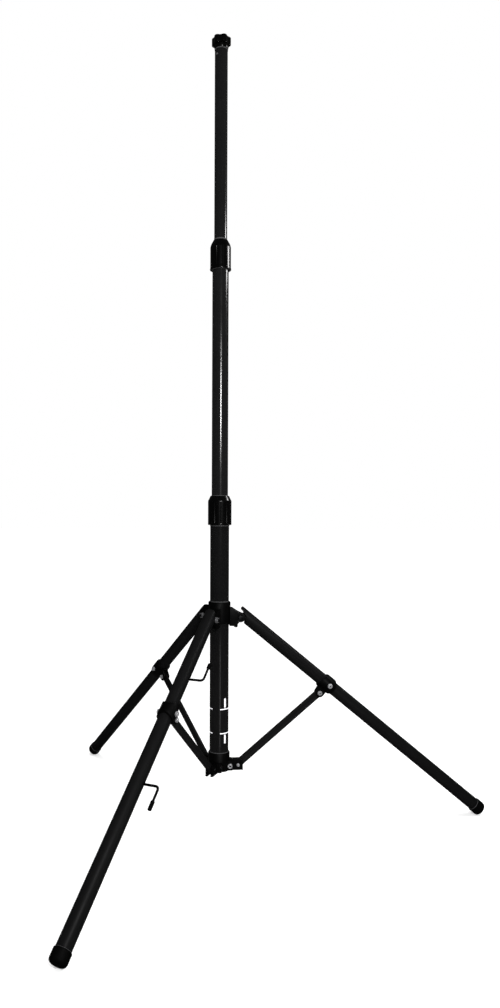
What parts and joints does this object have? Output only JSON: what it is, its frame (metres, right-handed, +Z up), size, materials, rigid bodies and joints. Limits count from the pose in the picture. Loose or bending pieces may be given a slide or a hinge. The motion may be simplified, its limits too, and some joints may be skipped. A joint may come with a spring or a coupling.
{
  "type": "lighting tripod",
  "caption": "Black lighting tripod: telescoping round-tube mast with two twist locks and a star knob, and folding legs braced by struts.",
  "frame": {"origin": "centre of the flat bottom face of the mast's end plug", "axes": "+Z up along the mast, +X to the viewer's right and +Y away from the viewer"},
  "size_m": [1.1855, 1.291, 2.1224],
  "materials": {
    "black_tube": "satin black powder coat",
    "black_casting": "fine-textured black casting",
    "black_plastic": "moulded, lightly grained",
    "grey_nylon": "plain nylon",
    "black_rubber": "matt moulded rubber",
    "bright_zinc": "bright zinc plate"
  },
  "bodies": {
    "mast_base": {"bottom_tube": "black_tube", "mast_end_plug": "black_plastic", "middle_lock_bush": "black_plastic", "middle_lock_collet": "grey_nylon", "lower_hub": "black_casting", "front_lower_rivet_left": "bright_zinc", "front_lower_rivet_right": "bright_zinc", "right_lower_rivet_left": "bright_zinc", "right_lower_rivet_right": "bright_zinc", "rear_lower_rivet_left": "bright_zinc", "rear_lower_rivet_right": "bright_zinc"},
    "middle_lock": {"middle_lock_collar": "black_plastic"},
    "middle_section": {"middle_tube": "black_tube", "middle_tube_bush": "grey_nylon", "top_lock_bush": "black_plastic", "top_lock_collet": "grey_nylon"},
    "top_lock": {"top_lock_collar": "black_plastic"},
    "top_section": {"top_tube": "black_tube", "top_tube_bush": "grey_nylon", "top_insert": "black_plastic", "top_rivet": "bright_zinc"},
    "head_knob": {"top_knob": "black_plastic", "top_knob_stud": "bright_zinc"},
    "spider": {"upper_hub": "black_casting", "hub_liner": "grey_nylon", "front_pivot_bolt": "bright_zinc", "front_pivot_nut": "bright_zinc", "right_pivot_bolt": "bright_zinc", "right_pivot_nut": "bright_zinc", "rear_pivot_bolt": "bright_zinc", "rear_pivot_nut": "bright_zinc"},
    "hub_lock": {"hub_lock_knob": "black_plastic", "hub_lock_stud": "bright_zinc"},
    "front_leg": {"front_leg_tube": "black_tube", "front_leg_head": "black_casting", "front_foot_cap": "black_rubber", "front_leg_collar": "black_casting", "front_collar_bolt": "bright_zinc", "front_strut_bolt": "bright_zinc", "upper_cable_hook": "bright_zinc", "lower_cable_hook": "bright_zinc", "upper_hook_tip": "black_rubber", "lower_hook_tip": "black_rubber"},
    "right_leg": {"right_leg_tube": "black_tube", "right_leg_head": "black_casting", "right_foot_cap": "black_rubber", "right_leg_collar": "black_casting", "right_collar_bolt": "bright_zinc", "right_strut_bolt": "bright_zinc"},
    "rear_leg": {"rear_leg_tube": "black_tube", "rear_leg_head": "black_casting", "rear_foot_cap": "black_rubber", "rear_leg_collar": "black_casting", "rear_collar_bolt": "bright_zinc", "rear_strut_bolt": "bright_zinc", "rear_leg_rivet": "bright_zinc"},
    "front_brace": {"front_strut": "black_tube"},
    "right_brace": {"right_strut": "black_tube"},
    "rear_brace": {"rear_strut": "black_tube"}
  },
  "joints": [
    {"name": "fold", "type": "slide", "parent": "mast_base", "child": "spider", "axis": [0, 0, 1], "range_m": [0, 0.198]},
    {"name": "front_leg_hinge", "type": "hinge", "parent": "spider", "child": "front_leg", "pos_m": [-0.02304, -0.05104, 0.411], "axis": [0.9114, -0.4115, 0], "range_deg": [-0.5, 48.7]},
    {"name": "right_leg_hinge", "type": "hinge", "parent": "spider", "child": "right_leg", "pos_m": [0.05572, 0.00556, 0.411], "axis": [-0.0993, 0.9951, 0], "range_deg": [-0.5, 48.7]},
    {"name": "rear_leg_hinge", "type": "hinge", "parent": "spider", "child": "rear_leg", "pos_m": [-0.03268, 0.04548, 0.411], "axis": [-0.8121, -0.5835, 0], "range_deg": [-0.5, 48.7]},
    {"name": "front_strut_hinge", "type": "hinge", "parent": "front_leg", "child": "front_brace", "pos_m": [-0.1132, -0.2507, 0.20257], "axis": [0.9114, -0.4115, 0], "range_deg": [-99.5, 0.5]},
    {"name": "right_strut_hinge", "type": "hinge", "parent": "right_leg", "child": "right_brace", "pos_m": [0.27371, 0.02732, 0.20257], "axis": [-0.0993, 0.9951, 0], "range_deg": [-99.5, 0.5]},
    {"name": "rear_strut_hinge", "type": "hinge", "parent": "rear_leg", "child": "rear_brace", "pos_m": [-0.16051, 0.22338, 0.20257], "axis": [-0.8121, -0.5835, 0], "range_deg": [-99.5, 0.5]},
    {"name": "middle_extension", "type": "slide", "parent": "mast_base", "child": "middle_section", "axis": [0, 0, 1], "range_m": [-0.608, 0]},
    {"name": "top_extension", "type": "slide", "parent": "middle_section", "child": "top_section", "axis": [0, 0, 1], "range_m": [-0.485, 0]},
    {"name": "middle_lock_twist", "type": "hinge", "parent": "mast_base", "child": "middle_lock", "pos_m": [0, 0, 0.7], "axis": [0, 0, 1], "range_deg": [0, 150]},
    {"name": "top_lock_twist", "type": "hinge", "parent": "middle_section", "child": "top_lock", "pos_m": [0, 0, 1.39], "axis": [0, 0, 1], "range_deg": [0, 150]},
    {"name": "head_knob_turn", "type": "hinge", "parent": "top_section", "child": "head_knob", "pos_m": [0, 0, 1.96], "axis": [0, 0, 1], "continuous": true},
    {"name": "hub_lock_turn", "type": "hinge", "parent": "spider", "child": "hub_lock", "pos_m": [0, 0, 0.425], "axis": [0.1045, 0.9945, 0], "continuous": true}
  ],
  "couplings": [
    {"joint": "front_leg_hinge", "follows": "fold", "rad_per_m": 4.2474},
    {"joint": "right_leg_hinge", "follows": "fold", "rad_per_m": 4.2474},
    {"joint": "rear_leg_hinge", "follows": "fold", "rad_per_m": 4.2474},
    {"joint": "front_strut_hinge", "follows": "fold", "rad_per_m": -8.7214},
    {"joint": "right_strut_hinge", "follows": "fold", "rad_per_m": -8.7214},
    {"joint": "rear_strut_hinge", "follows": "fold", "rad_per_m": -8.7214}
  ]
}
